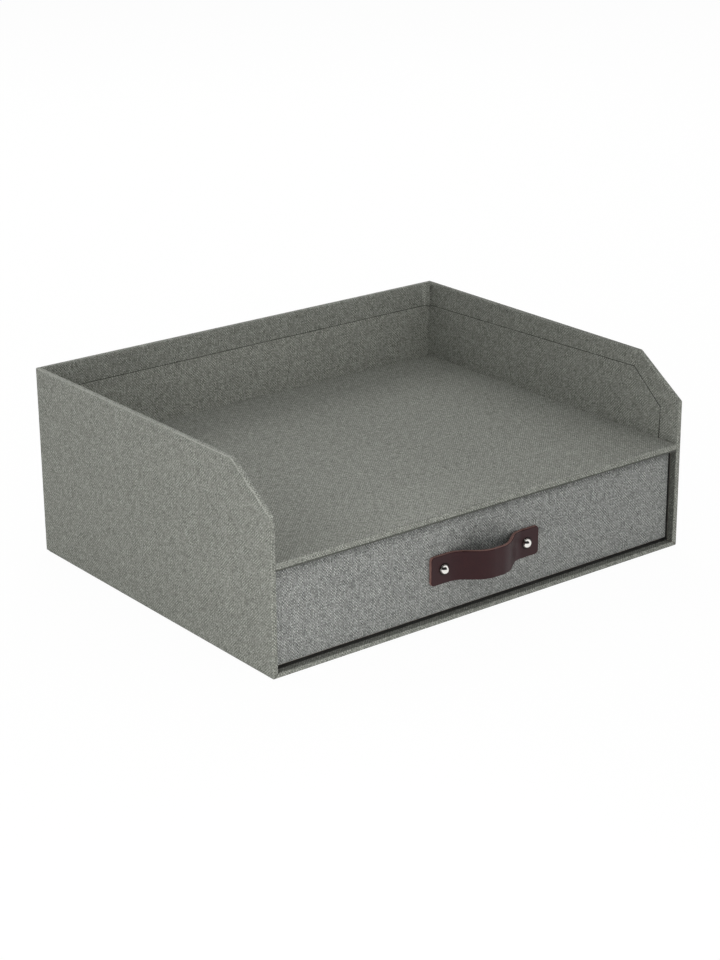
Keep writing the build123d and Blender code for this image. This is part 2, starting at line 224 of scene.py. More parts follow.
# Each lamp's name, place and width in metres, and power in watts
soft_lamps = (
    ("overhead_softbox", (0.0, 0.0, 2.1), 1.2, 8.2),
    ("rear_right_softbox", (0.9, 1.3, 1.35), 1.2, 10.6),
    ("rear_left_softbox", (-0.9, 1.3, 1.35), 1.2, 6.0),
    ("left_softbox", (-0.75, -0.3, 0.3), 0.4, 1.15),
    ("low_softbox", (-0.3, -0.45, 0.06), 0.12, 0.34),
)
for name, place, width, watts in soft_lamps:
    lamp = bpy.data.lights.new(name, "AREA")
    lamp.shape = "SQUARE"
    lamp.size = width
    lamp.energy = watts
    lamp_object = bpy.data.objects.new(name, lamp)
    lamp_object.location = place
    lamp_object.rotation_mode = "QUATERNION"
    lamp_object.rotation_quaternion = (lamp_target - Vector(place)).to_track_quat("-Z", "Y")
    lamp_object.visible_camera = False
    lamp_object.visible_glossy = False
    bpy.context.scene.collection.objects.link(lamp_object)
print("soft lamps:", len(soft_lamps))

# %% [markdown]
# ## Woven canvas
# The covering is a bookbinder's canvas: a plain weave of grey-green yarn about one millimetre thick. In a
# plain weave the two sets of threads, warp and weft, take turns on top like the squares of a chessboard,
# so a checker texture chooses which thread shows. A picture of cloth could be used too, but it would
# repeat, and nodes need no other file. The pattern lies on the map named threads, in metres, which every
# piece of cloth gets below.
# %% Crossing threads
wander_reach, wander_share = 11 * MM, 0.9
fray_reach, fray_share = 1.1, 0.45
thread_half = 0.36
thread_dip = 0.45


def crossing_threads(tree, threads, spacing):
    """The place counted in threads, 1 where the weft is on top, and the height of the thread that shows."""
    # Threads wander by part of their own width over a centimetre or so, and their sides are uneven
    place = threads
    for reach, share in ((wander_reach, wander_share), (fray_reach * spacing, fray_share)):
        wander = add_node(tree, "TexNoise", {"Vector": threads, "Scale": 1 / reach, "Detail": 1.0})
        place = add_node(
            tree, "VectorMath",
            {0: wander.outputs["Color"], 1: (share * spacing, share * spacing, 0.0), 2: place},
            operation="MULTIPLY_ADD",
        ).outputs[0]
    # From metres to threads counted
    place = add_node(
        tree, "VectorMath", {0: place, 1: (1 / spacing, 1 / spacing, 0.0)}, operation="MULTIPLY"
    ).outputs[0]
    weft_on_top = add_node(tree, "TexChecker", {"Vector": place, "Scale": 1.0}).outputs["Fac"]
    # Across a thread and along it: the distance to the nearest gap, in thread widths
    counts = add_node(tree, "SeparateXYZ", {0: place})
    over_warp = add_node(tree, "Math", {0: counts.outputs[0], 1: 0.5}, operation="PINGPONG").outputs[0]
    over_weft = add_node(tree, "Math", {0: counts.outputs[1], 1: 0.5}, operation="PINGPONG").outputs[0]
    across = add_node(tree, "Mix", {0: weft_on_top, 2: over_warp, 3: over_weft}).outputs[0]
    along = add_node(tree, "Mix", {0: weft_on_top, 2: over_weft, 3: over_warp}).outputs[0]
    roundness = add_node(
        tree, "MapRange", {"Value": across, "From Max": thread_half}, interpolation_type="SMOOTHSTEP"
    ).outputs[0]
    rise = add_node(
        tree, "MapRange", {"Value": along, "From Max": 0.5, "To Min": thread_dip},
        interpolation_type="SMOOTHSTEP",
    ).outputs[0]
    height = add_node(tree, "Math", {0: roundness, 1: rise}, operation="MULTIPLY").outputs[0]
    return place, weft_on_top, height


# %% [markdown]
# The yarn is slubby: each thread has its own tint, and it thickens and thins along its length. Every
# crossing differs a little too, which gives the eye a salt-and-pepper look. White noise gives one number
# to each thread and to each crossing. Soft noise, drawn out along the thread, gives slubs and fibres.
# %% Uneven yarn
slub_across, slub_along = 0.8, 0.1
slub_scale, fibre_scale = 2.0, 7.0
slub_low, slub_high = 0.3, 0.7


def uneven_yarn(tree, place, weft_on_top):
    """The yarn that shows, as numbers: its tint, its slubs, its fibres and each crossing's fleck."""
    # One number per thread, chosen by the thread that shows
    crossing = add_node(tree, "VectorMath", {0: place}, operation="FLOOR").outputs[0]
    warp_number = add_node(tree, "VectorMath", {0: crossing, 1: (1, 0, 0)}, operation="MULTIPLY").outputs[0]
    weft_number = add_node(
        tree, "VectorMath", {0: crossing, 1: (0, 1, 0), 2: (0.5, 0, 0)}, operation="MULTIPLY_ADD"
    ).outputs[0]
    thread_number = add_node(
        tree, "Mix", {0: weft_on_top, 4: warp_number, 5: weft_number}, data_type="VECTOR"
    ).outputs[1]
    tint = add_node(
        tree, "TexWhiteNoise", {"Vector": thread_number}, noise_dimensions="2D"
    ).outputs["Value"]
    # Slubs: noise drawn out along the thread that shows, from two far layers, so warp and weft differ
    warp_run = add_node(
        tree, "VectorMath", {0: place, 1: (slub_across, slub_along, 0), 2: (0, 0, 5)},
        operation="MULTIPLY_ADD",
    ).outputs[0]
    weft_run = add_node(
        tree, "VectorMath", {0: place, 1: (slub_along, slub_across, 0), 2: (0, 0, 11)},
        operation="MULTIPLY_ADD",
    ).outputs[0]
    run = add_node(tree, "Mix", {0: weft_on_top, 4: warp_run, 5: weft_run}, data_type="VECTOR").outputs[1]
    slub = add_node(tree, "TexNoise", {"Vector": run, "Scale": slub_scale, "Detail": 1.0}).outputs["Fac"]
    slub = add_node(
        tree, "MapRange", {"Value": slub, "From Min": slub_low, "From Max": slub_high}
    ).outputs[0]
    fibre = add_node(tree, "TexNoise", {"Vector": run, "Scale": fibre_scale, "Detail": 2.0}).outputs["Fac"]
    fleck = add_node(tree, "TexWhiteNoise", {"Vector": crossing}, noise_dimensions="2D").outputs["Value"]
    return tint, slub, fibre, fleck


# %% [markdown]
# Weft yarn is darker than warp yarn, in some places more than in others. That draws the faint diagonal
# hatching that a camera sees in such cloth. The same difference everywhere would look printed, so slow
# noise decides how strong it is.
# %% Two yarns
mood_size = 7 * MM
mood_low, mood_high, least_contrast = 0.35, 0.65, 0.3


def two_yarns(tree, threads, weft_on_top):
    """How pale the yarn that shows is: above zero for warp, and below zero for weft."""
    mood = add_node(
        tree, "TexNoise", {"Vector": threads, "Scale": 1 / mood_size, "Detail": 1.0}
    ).outputs["Fac"]
    contrast = add_node(
        tree, "MapRange",
        {"Value": mood, "From Min": mood_low, "From Max": mood_high, "To Min": least_contrast},
    ).outputs[0]
    warp_or_weft = add_node(tree, "Math", {0: 0.5, 1: weft_on_top}, operation="SUBTRACT").outputs[0]
    return add_node(tree, "Math", {0: warp_or_weft, 1: contrast}, operation="MULTIPLY").outputs[0]


# %% [markdown]
# How pale the cloth is at a spot is the sum of all these, and a ramp turns that into colour. The tops of
# threads are painted paler, as lit, and the gaps between them darker, as shaded; the tops are also a little
# less rough, and they raise a fine relief. The attribute on the mesh's corners, which the cloth also gets
# below, adds painted light and shade.
# %% Woven canvas
patch_size = 28 * MM
base_level = -0.27
gap_roughness, crown_roughness = 0.98, 0.82
fibre_relief, relief_strength, relief_depth = 0.25, 0.7, 0.22
cloth_sheen = 0.08


def woven_canvas(name, shaded_gap, shade, yarn, lit_crown, spacing):
    """Plain-woven cloth. The colours go from painted shade in the gaps between threads to the lit tops of
    the palest threads.
    """
    material, tree, shader = new_material(name, roughness=0.9, specular=0.25)
    threads = add_node(tree, "UVMap", uv_map="threads").outputs["UV"]
    place, weft_on_top, height = crossing_threads(tree, threads, spacing)
    tint, slub, fibre, fleck = uneven_yarn(tree, place, weft_on_top)
    lit_fleck = add_node(tree, "Math", {0: fleck, 1: height}, operation="MULTIPLY").outputs[0]
    patch = add_node(
        tree, "TexNoise", {"Vector": threads, "Scale": 1 / patch_size, "Detail": 2.0}
    ).outputs["Fac"]
    # The attribute holds painted light and shade: paler where it is above zero, darker where below
    light_paint = add_node(tree, "Attribute", attribute_name="painted_light_and_shade").outputs["Fac"]
    two_tone = two_yarns(tree, threads, weft_on_top)
    # How much each part counts; the height paints shade in the gaps and light on the tops of threads
    shares = (
        (height, 0.34), (two_tone, 0.44), (tint, 0.1), (slub, 0.56), (fleck, 0.18), (lit_fleck, 0.24),
        (patch, 0.06), (fibre, 0.2), (light_paint, 0.16),
    )
    level = base_level
    for part, share in shares:
        level = add_node(tree, "Math", {0: part, 1: share, 2: level}, operation="MULTIPLY_ADD").outputs[0]
    stops = ((0.0, shaded_gap), (1.0, lit_crown), (0.3, shade), (0.62, yarn))
    colour = add_node(tree, "ValToRGB", {"Fac": level}, stops=stops).outputs["Color"]
    tree.links.new(colour, shader.inputs["Base Color"])
    matt = add_node(
        tree, "MapRange", {"Value": height, "To Min": gap_roughness, "To Max": crown_roughness}
    ).outputs[0]
    tree.links.new(matt, shader.inputs["Roughness"])
    relief = add_node(
        tree, "Math", {0: fibre, 1: fibre_relief, 2: height}, operation="MULTIPLY_ADD"
    ).outputs[0]
    bump = add_node(
        tree, "Bump", {"Height": relief, "Strength": relief_strength, "Distance": relief_depth * spacing}
    )
    tree.links.new(bump.outputs[0], shader.inputs["Normal"])
    shader.inputs["Sheen Weight"].default_value = cloth_sheen
    return material


# %% [markdown]
# All the cloths come from that one function. The case has a grey-green canvas, the drawer's outside a
# greyer one, and the lining of the back wall a paler one, which is painted light. The drawer's inside has
# a finer cloth, and the bay is lined in charcoal cloth, which is painted shade. To the eye they are matt:
# rough threads scatter light every way, and only a trace of sheen is left at grazing angles.
# %% Cloths
pitch = 0.97 * MM
fine_pitch = 0.7 * pitch
case_canvas = woven_canvas("grey-green woven canvas", "#50524C", "#777972", "#92948C", "#BCBEB6", pitch)
# A paler copy of the case canvas, painted light for the back wall's lining
lit_back_canvas = woven_canvas("paler woven canvas, painted light", "#555751", "#7E8079", "#9B9D94", "#C8C9C1", pitch)
drawer_canvas = woven_canvas("grey woven canvas", "#494B48", "#747674", "#949693", "#C4C6C2", pitch)
lining_canvas = woven_canvas("fine lining cloth", "#56574F", "#777870", "#8A8B83", "#A5A69D", fine_pitch)
# Charcoal cloth is painted shade for the bay behind the drawer
bay_shade_canvas = woven_canvas("charcoal cloth, painted bay shade", "#191A18", "#262724", "#32332F", "#454641", fine_pitch)
print("canvas threads per centimetre:", round(10 * MM / pitch, 1))

# %% [markdown]
# ## Dark paper
# Binders put dark paper where nobody should look, such as the sheet under the base. Dark tape over raw
# board beneath a lining's edge is painted shade: it makes the seam show as a fine dark line. To the eye
# the paper is flat and dark with faint streaks. Its fibres lie mostly one way, so the noise is drawn out.
# %% Dark paper
paper_fibre = (4 * MM, 0.8 * MM, 1 * MM)


def dark_paper(name, dark, pale):
    """Matt dark paper with drawn-out fibres."""
    material, tree, shader = new_material(name, roughness=0.85, specular=0.25)
    spot = add_node(tree, "TexCoord").outputs["Object"]
    scales = [1 / size for size in paper_fibre]
    laid = add_node(tree, "Mapping", {"Vector": spot, "Scale": scales}).outputs[0]
    fibre = add_node(tree, "TexNoise", {"Vector": laid, "Scale": 1.0, "Detail": 5.0}).outputs["Fac"]
    colour = add_node(tree, "ValToRGB", {"Fac": fibre}, stops=((0.3, dark), (0.7, pale))).outputs["Color"]
    tree.links.new(colour, shader.inputs["Base Color"])
    bump = add_node(tree, "Bump", {"Height": fibre, "Strength": 0.25, "Distance": 0.08 * MM})
    tree.links.new(bump.outputs[0], shader.inputs["Normal"])
    return material


backing = dark_paper("dark backing paper", "#363834", "#4A4C47")
# The tape is painted shade for the seams under the linings' edges
seam_shade_tape = dark_paper("dark tape, painted seam shade", "#3A3B36", "#474842")
print("papers:", backing.name, "and", seam_shade_tape.name)

# %% [markdown]
# ## Ways to wrap a board
# Most pieces are cloth over a flat board, so a few helpers do the repeated work. A board starts as a
# block, or as an outline swept sideways where it has a slanted corner. A copy of the CAD board could be
# used too, but that is made of loose triangles, and clean faces cut and fold better.
# %% Boards
def block(low, high):
    """A closed block between two opposite corners."""
    shape = bmesh.new()
    bmesh.ops.create_cube(shape, size=1.0)
    bmesh.ops.scale(shape, verts=shape.verts, vec=Vector(high) - Vector(low))
    bmesh.ops.translate(shape, verts=shape.verts, vec=(Vector(high) + Vector(low)) / 2)
    return shape


def prism(outline, x_start, x_end):
    """A closed board: an outline of (depth, height) corners swept from one x to another."""
    shape = bmesh.new()
    start = shape.faces.new([shape.verts.new((x_start, depth, height)) for depth, height in outline])
    swept = bmesh.ops.extrude_face_region(shape, geom=[start])["geom"]
    moved = [part for part in swept if isinstance(part, bmesh.types.BMVert)]
    bmesh.ops.translate(shape, verts=moved, vec=(x_end - x_start, 0, 0))
    bmesh.ops.recalc_face_normals(shape, faces=shape.faces)
    return shape


# %% [markdown]
# Cloth doesn't cover every side of its board. Faces are picked by the way they look, cut along a plane,
# and deleted where another piece covers them. Numbered faces would be shorter to write, but picking by
# direction still works when a size changes.
# %% Picking and cutting faces
squarely = 0.99


def facing(shape, direction, likeness=squarely):
    """The faces that look in a direction, or roughly that way with a smaller likeness."""
    aim = Vector(direction).normalized()
    return [face for face in shape.faces if face.normal.dot(aim) > likeness]


def cut(shape, point, direction, faces=None, clear=False):
    """Cuts faces along a plane. With clear, what lies on the plane's direction side goes."""
    parts = set(faces or shape.faces)
    for face in list(parts):
        parts.update(face.edges)
        parts.update(face.verts)
    bmesh.ops.bisect_plane(
        shape, geom=list(parts), plane_co=Vector(point), plane_no=Vector(direction), clear_outer=clear
    )


def remove(shape, faces):
    """Deletes faces, with the edges and corners that nothing else uses."""
    bmesh.ops.delete(shape, geom=list(faces), context="FACES")


# %% [markdown]
# Cloth over a board's edge makes a soft, round fold, so each sharp edge that is left is rounded with a
# bevel. Corners of the mesh also carry a number for painted light: above zero the cloth is painted paler
# there, as a highlight, and below zero it is painted darker, as shade. A painted picture could do the
# same, but numbers on corners follow the sheet by themselves.
# %% Folds and painted light
fold_steps = 4
sharp_fold = radians(20)


def round_folds(shape, radius, steps=fold_steps, light_paint=0.0):
    """Rounds every fold of the sheet, and marks the middle of each rounding with its painted light."""
    paint_layer = shape.verts.layers.float.new("painted_light_and_shade")
    inner = [edge for edge in shape.edges if len(edge.link_faces) == 2]
    rounded = bmesh.ops.bevel(
        shape, geom=[edge for edge in inner if edge.calc_face_angle() > sharp_fold], offset=radius,
        segments=steps, profile=0.5, affect="EDGES", material=-1, clamp_overlap=True,
    )
    bent = set(rounded["faces"])
    for vert in rounded["verts"]:
        if all(face in bent for face in vert.link_faces):
            vert[paint_layer] = light_paint
    shape.normal_update()


def mark_light_paint(shape, faces, light_paint):
    """Gives all corners of some faces the same painted light or shade."""
    paint_layer = shape.verts.layers.float["painted_light_and_shade"]
    for face in faces:
        for vert in face.verts:
            vert[paint_layer] = light_paint


# %% [markdown]
# The thread map lays the weave along each face, a little out of square, as a binder's hand leaves it. A
# Solidify modifier then gives the sheet its thickness, towards the board, so the covered size stays true.
# Last, each piece is parented to the body it rides on, the CAD nodes it stands for are hidden, and it gets
# its finish.
# %% Threads and finished pieces
def lay_threads(shape, skew):
    """Maps threads to every face, in metres: along the two axes that the face lies nearest to."""
    threads = shape.loops.layers.uv.new("threads")
    turn = Matrix.Rotation(radians(skew), 2)
    for face in shape.faces:
        across = max(range(3), key=lambda axis: abs(face.normal[axis]))
        first, second = [axis for axis in range(3) if axis != across]
        for loop in face.loops:
            place = loop.vert.co
            loop[threads].uv = turn @ Vector((place[first], place[second]))


def make_piece(shape, name, body, nodes, materials, thickness=0.0):
    """Turns a bmesh into a piece that rides on a body, hides the CAD nodes it stands for and takes its
    materials.
    """
    mesh = bpy.data.meshes.new(name)
    shape.to_mesh(mesh)
    shape.free()
    mesh.shade_smooth()
    for material in materials:
        mesh.materials.append(material)
    piece = bpy.data.objects.new(name, mesh)
    bpy.context.scene.collection.objects.link(piece)
    if thickness:
        sheet = piece.modifiers.new("Sheet thickness", "SOLIDIFY")
        sheet.thickness = thickness
        sheet.offset = -1.0
        sheet.use_even_offset = True
    even = piece.modifiers.new("Even shading", "WEIGHTED_NORMAL")
    even.keep_sharp = True
    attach(piece, body)
    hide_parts(*nodes)
    print(f"{name}: {len(mesh.polygons)} faces, on {body}")


# %% [markdown]
# ## Measures from the frame
# The outer sizes aren't guessed here: the boxes of the CAD nodes give the outside of the case, the boards
# and the drawer, and the corners of a side wall's board give the slanted cut at the front.
# %% Measures from the frame
wall_low, wall_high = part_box("case_left_cover")
board_low, board_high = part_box("case_left_board")
half_width = -wall_low.x
turn_face = -wall_high.x
cloth_t = board_low.x - wall_low.x
hair = cloth_t / 10
case_front, case_rear = wall_low.y, wall_high.y
foot, top = wall_low.z, wall_high.z
back_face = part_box("case_back_cover")[0].y
shelf_low, shelf_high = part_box("shelf_cover")
base_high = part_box("case_base_cover")[1]
lining_low, lining_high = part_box("left_lining")
bay_half = -lining_high.x
lining_t = lining_high.x - lining_low.x
turn_in = lining_low.y - case_front

board_corners = [vert.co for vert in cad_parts["case_left_board"].data.vertices]
on_front = [corner for corner in board_corners if abs(corner.y - board_low.y) < hair]
on_top = [corner for corner in board_corners if abs(corner.z - board_high.z) < hair]
cut_low = max(corner.z for corner in on_front)
cut_high = min(corner.y for corner in on_top)
slant = atan2(board_high.z - cut_low, cut_high - board_low.y)
cut_low += cloth_t * (1 - sin(slant)) / cos(slant)
cut_high -= cloth_t * (1 - cos(slant)) / sin(slant)
print("cloth in mm:", round(cloth_t / MM, 3), " turned in by:", round(turn_in / MM, 2))
print("slanted corner in mm, from height", round(cut_low / MM, 2), "to depth", round(cut_high / MM, 2))

# %% [markdown]
# ## Side walls
# A lining panel covers the raw edge of the cloth that is turned in. The seam is set where the picture
# shows it, a few millimetres out of parallel, as panels cut by hand are. Where two turned-in flaps meet,
# a binder presses them flat, which leaves a fine groove. A dark line in the material could stand for it,
# but a real groove also catches light: the join is bevelled, and its middle is pushed in and painted dark
# as shade.
# %% Seams and pressed folds
seam_from_front = 17.1 * MM
seam_corner_from_front, seam_corner_below_top = 16.1 * MM, 33.4 * MM
seam_slant_from_front, seam_slant_below_top = 41.6 * MM, 11.4 * MM
seam_rear_below_top = 16.8 * MM
# The groove's middle is painted darker, as shade
fold_width, fold_depth, fold_shade = 0.9 * MM, 0.35 * MM, -1.0


def seam_line(gap, low):
    """Corners of a side wall's lining as (depth, height), kept clear of the turned-in cloth by a gap."""
    return [
        (case_front + seam_from_front + gap, low),
        (case_front + seam_corner_from_front + gap, top - seam_corner_below_top - gap),
        (case_front + seam_slant_from_front + gap, top - seam_slant_below_top - gap),
        (back_face, top - seam_rear_below_top - gap),
        (back_face, low),
    ]


def press_folds(shape, direction):
    """Presses a groove along each join between flaps that lie in one plane, with painted shade in its
    middle.
    """
    paint_layer = shape.verts.layers.float["painted_light_and_shade"]
    direction = Vector(direction)
    flat = set(facing(shape, direction))
    inner = [edge for edge in shape.edges if len(edge.link_faces) == 2]
    joins = [edge for edge in inner if flat.issuperset(edge.link_faces)]
    lines = [[vert.co.copy() for vert in edge.verts] for edge in joins]
    pressed = bmesh.ops.bevel(
        shape, geom=joins, offset=fold_width / 2, segments=2, profile=0.5, affect="EDGES", material=-1,
        clamp_overlap=True,
    )
    for vert in pressed["verts"]:
        nearest = min((vert.co - intersect_point_line(vert.co, *line)[0]).length for line in lines)
        if nearest < fold_width / 100:
            vert.co -= direction * fold_depth
            vert[paint_layer] = fold_shade


print("groove in mm:", round(fold_width / MM, 2), "wide and", round(fold_depth / MM, 2), "deep")

# %% [markdown]
# The cloth of a side wall covers its outside and turns over the front, slanted and top edges to the
# inside. The wall is an outline swept through its thickness, and an inset of the inner face makes the
# flaps with their mitred corners. They could be drawn one by one, but an inset keeps them joined. Beside
# the drawer only a short flap shows.
# %% Side wall flaps
bay_turn_in = 5.2 * MM
flap_end = case_front + bay_turn_in
wall_outline = [
    (case_front, foot),
    (case_front, cut_low),
    (cut_high, top),
    (case_rear, top),
    (case_rear, foot),
]


def in_bay(shape, side):
    """The inner faces of a side wall that lie below the shelf."""
    return [face for face in facing(shape, (-side, 0, 0)) if face.calc_center_median().z < shelf_low.z]


def wall_flaps(side):
    """The cloth round one side wall with its turned-in flaps, open where the lining covers it."""
    inward = (-side, 0, 0)
    shape = prism(wall_outline, side * half_width, side * turn_face)
    panel = facing(shape, inward)[0]
    flaps = bmesh.ops.inset_region(shape, faces=[panel], thickness=turn_in, use_even_offset=True)["faces"]
    for vert in panel.verts:
        corner = min(seam_line(0, foot), key=lambda spot: (Vector(spot) - vert.co.yz).length)
        vert.co.y, vert.co.z = corner
    low_flap = min(flaps, key=lambda face: face.calc_center_median().z)
    rear_flap = max(flaps, key=lambda face: face.calc_center_median().y)
    remove(shape, [panel, low_flap, rear_flap])
    for height in (shelf_low.z, shelf_high.z):
        cut(shape, (0, 0, height), (0, 0, 1), facing(shape, inward))
    cut(shape, (0, flap_end, 0), (0, 1, 0), in_bay(shape, side))
    remove(shape, [face for face in in_bay(shape, side) if face.calc_center_median().y > flap_end])
    return shape


# %% [markdown]
# At the foot the wall meets the base in a mitre with a fine slit, so its sheet is cut along a slanted
# plane, a little short of the joint. Behind the base there is no other half of the mitre, so a small
# triangle closes the rear edge down to the foot.
# %% Foot mitres
mitre_gap = 0.3 * MM


def mitre_foot(shape, side):
    """Cuts the foot of one side wall's cloth to a mitre, and closes its rear edge."""
    mitre = Vector((side * (foot - base_high.z), 0, turn_face - half_width)).normalized()
    cut(shape, Vector((side * turn_face, 0, base_high.z)) - mitre * mitre_gap, mitre, clear=True)
    rear_corners = [vert for vert in shape.verts if abs(vert.co.y - case_rear) < hair]
    rear_corners = sorted(rear_corners, key=lambda vert: vert.co.z)[:2]
    rear_corners.append(shape.verts.new((side * turn_face, case_rear, foot)))
    rear_corner = shape.faces.new(rear_corners)
    rear_corner.normal_update()
    if rear_corner.normal.y < 0:
        rear_corner.normal_flip()


# %% [markdown]
# The edges carry painted light and shade. The left wall's rim and the bend that faces up and to the left
# are painted paler, as highlights, the right wall's rim and the left wall's front are painted darker, as
# shade, and the short flaps beside the drawer are painted dark as the bay's shade.
# %% Side walls
edge_round = 0.8 * MM
# Painted shade on the flaps inside the bay, and half of it on the lip's top
bay_shade = -3.2
# How like a direction a painted face has to look, that direction, and its painted light
left_rim, left_rim_look, left_rim_highlight = 0.85, (-0.3, -0.3, 1), 0.9
left_bend, left_bend_look, left_bend_highlight = 0.9, (-0.75, -0.3, 0.7), 2.4
left_front_shade = -0.5
right_rim, right_rim_shade = 0.9, -1.0


def paint_wall_light(shape, side):
    """Paints highlights and shade on the edges of one side wall's cloth."""
    mark_light_paint(shape, in_bay(shape, side), bay_shade)
    if side < 0:
        mark_light_paint(shape, facing(shape, left_rim_look, left_rim), left_rim_highlight)
        mark_light_paint(shape, facing(shape, left_bend_look, left_bend), left_bend_highlight)
        mark_light_paint(shape, facing(shape, (0, -1, 0)), left_front_shade)
    else:
        mark_light_paint(shape, facing(shape, (0, 0, 1), right_rim), right_rim_shade)


# Each side's direction, its name and how far its weave is out of square, in degrees
sides = ((-1, "left", 0.5), (1, "right", -0.7))
for side, name, skew in sides:
    cloth = wall_flaps(side)
    mitre_foot(cloth, side)
    round_folds(cloth, edge_round)
    paint_wall_light(cloth, side)
    press_folds(cloth, (-side, 0, 0))
    lay_threads(cloth, skew)
    covered = [f"case_{name}_cover"]
    make_piece(cloth, f"{name}_wall_canvas", "case", covered, [case_canvas], cloth_t)

# %% [markdown]
# The lining panels are cards faced with cloth, and each is in two lengths: canvas in the tray, and
# charcoal cloth, painted shade, in the bay. Dark tape, also painted shade, lies under the edge of the
# tray's panel and reaches a little further, so that the seam is a fine dark line. A thin slab of its own
# gives that line its depth.
# %% Side linings
seam_gap = 0.5 * MM
card_round = 0.25 * MM
card_steps = 2
tape_t = 0.12 * MM
for side, name, skew in sides:
    card_face, card_back = side * bay_half, side * (bay_half + lining_t)
    lining = prism(seam_line(seam_gap, shelf_low.z), card_back, card_face)
    round_folds(lining, card_round, card_steps)
    lay_threads(lining, -skew)
    make_piece(lining, f"{name}_wall_lining", "case", [f"{name}_lining"], [case_canvas])
    # The bay's length of lining is charcoal cloth, painted shade
    bay_side = block(
        (min(card_face, card_back), flap_end + seam_gap, lining_low.z),
        (max(card_face, card_back), back_face, shelf_low.z),
    )
    round_folds(bay_side, card_round, card_steps)
    lay_threads(bay_side, skew)
    make_piece(bay_side, f"{name}_bay_lining", "case", [f"{name}_lining"], [bay_shade_canvas])
    # The dark tape under the seam is painted shade
    seam_shade_bed = prism(seam_line(0.0, shelf_low.z), card_back, card_back - side * tape_t)
    make_piece(seam_shade_bed, f"{name}_seam_shade_tape", "case", [], [seam_shade_tape])

# %% [markdown]
# ## Back wall
# The back wall's cloth hangs between the side walls: outside, over the top edge, and turned in above its
# own lining panel. It starts as a block, loses the sides that the cloth doesn't cover, and has its inner
# face trimmed at the seam. Other covers below are made in the same steps, so two helpers do them.
# %% Back wall
def open_sides(shape, *directions, likeness=squarely):
    """Deletes the faces that look in any of some directions."""
    for direction in directions:
        remove(shape, facing(shape, direction, likeness))


def trim(shape, look, point, direction):
    """Cuts the faces that look one way along a plane, and deletes those that lie beyond it."""
    cut(shape, point, direction, facing(shape, look))
    aim = Vector(direction)
    limit = aim.dot(Vector(point))
    remove(shape, [face for face in facing(shape, look) if aim.dot(face.calc_center_median()) > limit])


seam_back_below_top = 16.5 * MM
back_seam = top - seam_back_below_top
back_skew, back_panel_skew = 0.4, -0.6

back_cloth = block((-turn_face, back_face, foot), (turn_face, case_rear, top))
open_sides(back_cloth, (1, 0, 0), (-1, 0, 0), (0, 0, -1))
trim(back_cloth, (0, -1, 0), (0, 0, back_seam), (0, 0, -1))
round_folds(back_cloth, edge_round)
lay_threads(back_cloth, back_skew)
make_piece(
    back_cloth, "back_wall_canvas", "case", ["case_back_cover"], [case_canvas], cloth_t
)

panel_low, panel_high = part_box("back_lining")
back_panel = block(panel_low, (panel_high.x, panel_high.y, back_seam - seam_gap))
round_folds(back_panel, card_round, card_steps)
lay_threads(back_panel, back_panel_skew)
# The back wall's lining is painted paler, as lit
make_piece(back_panel, "back_wall_lining", "case", ["back_lining"], [lit_back_canvas])
# Dark tape under the back panel's edge is painted shade for its seam
back_shade_bed = block(
    (panel_low.x, panel_high.y - tape_t, panel_low.z), (panel_high.x, panel_high.y, back_seam)
)
make_piece(back_shade_bed, "back_seam_shade_tape", "case", [], [seam_shade_tape])

# %% [markdown]
# In each inner corner the spare cloth is folded into a narrow upright tab that stands a little proud. The
# tab is drawn in plan as two short lines and an arc, made by spinning their end, and then pulled up to
# its height. Its free edge is painted paler as a highlight, and the fold against the side wall is
# painted dark as shade.
# %% Corner tabs
tab_width = 6.2 * MM
tab_shoulder = 0.7 * tab_width
tab_t = 2.4 * cloth_t
tab_round = 1.6 * MM
tab_steps = 6
# Painted highlight on the tab's free edge, painted shade in its fold
tab_edge_highlight, tab_fold_shade = 1.2, -2.0


def corner_tab(side):
    """The folded tab in one inner corner: it leaves the back wall and turns onto the side wall."""
    shape = bmesh.new()
    plan = ((tab_width, 0.0), (tab_shoulder, tab_t), (tab_round + tab_t, tab_t))
    spots = []
    for inward, proud in plan:
        spots.append(shape.verts.new((side * (turn_face - inward), back_face - proud, back_seam)))
    for first, second in zip(spots, spots[1:]):
        shape.edges.new((first, second))
    bend = spots[-1]
    bmesh.ops.spin(
        shape, geom=[bend], cent=bend.co - Vector((0, tab_round, 0)), axis=(0, 0, -side), angle=pi / 2,
        steps=tab_steps, dvec=(0, 0, 0),
    )
    bmesh.ops.remove_doubles(shape, verts=shape.verts, dist=hair / 2)
    risen = bmesh.ops.extrude_edge_only(shape, edges=shape.edges)["geom"]
    top_verts = [part for part in risen if isinstance(part, bmesh.types.BMVert)]
    bmesh.ops.translate(shape, verts=top_verts, vec=(0, 0, seam_back_below_top - edge_round))
    for face in shape.faces:
        face.normal_update()
        if face.normal.dot(Vector((-side, -1, 0))) < 0:
            face.normal_flip()
    paint_layer = shape.verts.layers.float.new("painted_light_and_shade")
    for vert in shape.verts:
        if abs(vert.co.x) < turn_face - tab_width / 2:
            vert[paint_layer] = tab_edge_highlight
        elif abs(vert.co.x) > turn_face - tab_t - hair:
            vert[paint_layer] = tab_fold_shade
    return shape


for side, name, skew in sides:
    tab = corner_tab(side)
    lay_threads(tab, skew)
    make_piece(tab, f"{name}_corner_tab", "case", [], [case_canvas], tab_t)

# %% [markdown]
# ## Shelf, base and bay
# The shelf is the tray's floor and the bay's ceiling. Its cloth covers the top, rolls over the front edge
# and ends underneath. Its rounded edges are painted a little paler as highlights, and the lower half of
# the roll is painted dark as shade. The front of the tray is painted paler, as lit. A soft patch like that
# needs corners to fade across, so a grid is cut into the flat side first.
# %% Shelf
patch_steps = 5


